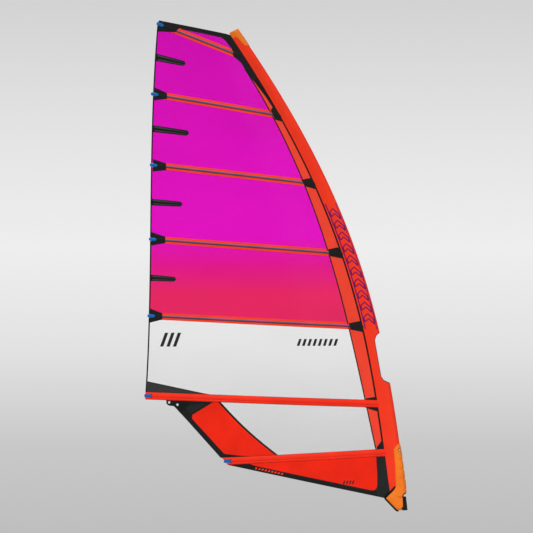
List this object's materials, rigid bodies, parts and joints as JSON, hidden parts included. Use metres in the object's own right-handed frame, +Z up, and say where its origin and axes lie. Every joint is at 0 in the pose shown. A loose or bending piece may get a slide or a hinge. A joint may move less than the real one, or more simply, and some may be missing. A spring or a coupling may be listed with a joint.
{
  "type": "windsurf sail rig",
  "caption": "Wide-sleeve windsurf sail with tinted film panels, battens, tensioners, camber inducers, clew eyelets, mast pad and tack pulley.",
  "frame": {"origin": "on the mast's axis at the foot of the sail, at the mouth of the luff sleeve", "axes": "+X forwards to the luff, +Y to port, +Z up the mast; the body of the sail bellies towards -Y"},
  "size_m": [2.372, 0.1421, 4.4139],
  "materials": {
    "sleeve_cloth": "woven, satin",
    "cap_cloth": "woven, satin",
    "moulded_plastic": "fine texture",
    "black_cloth": "coated weave",
    "mesh_patch": "mesh weave",
    "tinted_film": "clear gloss, magenta tint",
    "clear_film": "clear gloss",
    "foot_cloth": "laminated scrim",
    "pocket_cloth": "woven tape",
    "batten_rod": "pultruded",
    "blue_plastic": "moulded",
    "pad_cloth": "quilted foam-backed",
    "metal": "stainless"
  },
  "bodies": {
    "sail": {"batten_1": "batten_rod", "batten_2": "batten_rod", "batten_3": "batten_rod", "batten_4": "batten_rod", "batten_5": "batten_rod", "batten_6": "batten_rod", "batten_7": "batten_rod", "batten_end_caps": "moulded_plastic", "batten_pocket_1": "pocket_cloth", "batten_pocket_2": "pocket_cloth", "batten_pocket_3": "pocket_cloth", "batten_pocket_4": "pocket_cloth", "batten_pocket_5": "pocket_cloth", "batten_pocket_6": "pocket_cloth", "batten_pocket_7": "pocket_cloth", "clew_eyelets": "metal", "clew_patch": "black_cloth", "film_panel_1": "tinted_film", "film_panel_2": "tinted_film", "film_panel_3": "tinted_film", "film_panel_4": "tinted_film", "film_panel_head": "tinted_film", "foot_band": "black_cloth", "foot_panel_lower": "foot_cloth", "foot_panel_upper": "foot_cloth", "head_band": "black_cloth", "head_cap": "cap_cloth", "head_reinforcement": "black_cloth", "leech_corner_patch": "mesh_patch", "leech_tape": "black_cloth", "lower_window_panel": "clear_film", "luff_panels": "sleeve_cloth", "luff_sleeve_port": "sleeve_cloth", "luff_sleeve_starboard": "sleeve_cloth", "mast_pad": "pad_cloth", "mast_tip_cup": "moulded_plastic", "minor_batten_pockets": "black_cloth", "minor_battens": "batten_rod", "pulley_hanger": "metal", "seam_tapes": "black_cloth", "tack_fairing": "pad_cloth", "tack_panel": "black_cloth", "tack_strap": "black_cloth", "window_panel": "clear_film"},
    "tensioner_1": {"tensioner_1": "blue_plastic"},
    "tensioner_2": {"tensioner_2": "blue_plastic"},
    "tensioner_3": {"tensioner_3": "blue_plastic"},
    "tensioner_4": {"tensioner_4": "blue_plastic"},
    "tensioner_5": {"tensioner_5": "blue_plastic"},
    "tensioner_6": {"tensioner_6": "blue_plastic"},
    "tensioner_7": {"tensioner_7": "blue_plastic"},
    "camber_5": {"camber_5": "moulded_plastic"},
    "camber_6": {"camber_6": "moulded_plastic"},
    "camber_7": {"camber_7": "moulded_plastic"},
    "pulley": {"pulley_block": "moulded_plastic", "pulley_axle": "metal"},
    "sheave_1": {"sheave_1": "moulded_plastic"},
    "sheave_2": {"sheave_2": "moulded_plastic"},
    "sheave_3": {"sheave_3": "moulded_plastic"},
    "zip_slider": {"zip_slider": "moulded_plastic"}
  },
  "joints": [
    {"name": "tensioner_1_slide", "type": "slide", "parent": "sail", "child": "tensioner_1", "axis": [-0.9298, 0.0513, 0.3644], "range_m": [0, 0.02]},
    {"name": "tensioner_2_slide", "type": "slide", "parent": "sail", "child": "tensioner_2", "axis": [-0.9826, 0.0798, 0.1676], "range_m": [0, 0.02]},
    {"name": "tensioner_3_slide", "type": "slide", "parent": "sail", "child": "tensioner_3", "axis": [-0.9893, 0.0897, 0.1147], "range_m": [0, 0.02]},
    {"name": "tensioner_4_slide", "type": "slide", "parent": "sail", "child": "tensioner_4", "axis": [-0.9931, 0.0909, 0.0745], "range_m": [0, 0.02]},
    {"name": "tensioner_5_slide", "type": "slide", "parent": "sail", "child": "tensioner_5", "axis": [-0.9952, 0.0838, 0.0495], "range_m": [0, 0.02]},
    {"name": "tensioner_6_slide", "type": "slide", "parent": "sail", "child": "tensioner_6", "axis": [-0.9971, 0.068, 0.0349], "range_m": [0, 0.02]},
    {"name": "tensioner_7_slide", "type": "slide", "parent": "sail", "child": "tensioner_7", "axis": [-0.9973, 0.0513, -0.0528], "range_m": [0, 0.02]},
    {"name": "camber_5_swing", "type": "hinge", "parent": "sail", "child": "camber_5", "pos_m": [-0.35625, 0, 1.61695], "axis": [-0.2354, 0, 0.9719], "range_deg": [-4, 4]},
    {"name": "camber_6_swing", "type": "hinge", "parent": "sail", "child": "camber_6", "pos_m": [-0.21958, 0, 0.92889], "axis": [-0.16, 0, 0.9871], "range_deg": [-4, 4]},
    {"name": "camber_7_swing", "type": "hinge", "parent": "sail", "child": "camber_7", "pos_m": [-0.15652, 0, 0.50212], "axis": [-0.1358, 0, 0.9907], "range_deg": [-4, 4]},
    {"name": "pulley_swing", "type": "hinge", "parent": "sail", "child": "pulley", "pos_m": [-0.062, 0, 0.074], "axis": [0, 1, 0], "range_deg": [-12, 12]},
    {"name": "sheave_1_spin", "type": "hinge", "parent": "pulley", "child": "sheave_1", "pos_m": [-0.062, -0.008, 0.04], "axis": [0, 1, 0], "continuous": true},
    {"name": "sheave_2_spin", "type": "hinge", "parent": "pulley", "child": "sheave_2", "pos_m": [-0.062, 0, 0.04], "axis": [0, 1, 0], "continuous": true},
    {"name": "sheave_3_spin", "type": "hinge", "parent": "pulley", "child": "sheave_3", "pos_m": [-0.062, 0.008, 0.04], "axis": [0, 1, 0], "continuous": true},
    {"name": "zip_slide", "type": "slide", "parent": "sail", "child": "zip_slider", "axis": [-0.681, 0, 0.7323], "range_m": [0, 0.1]}
  ]
}
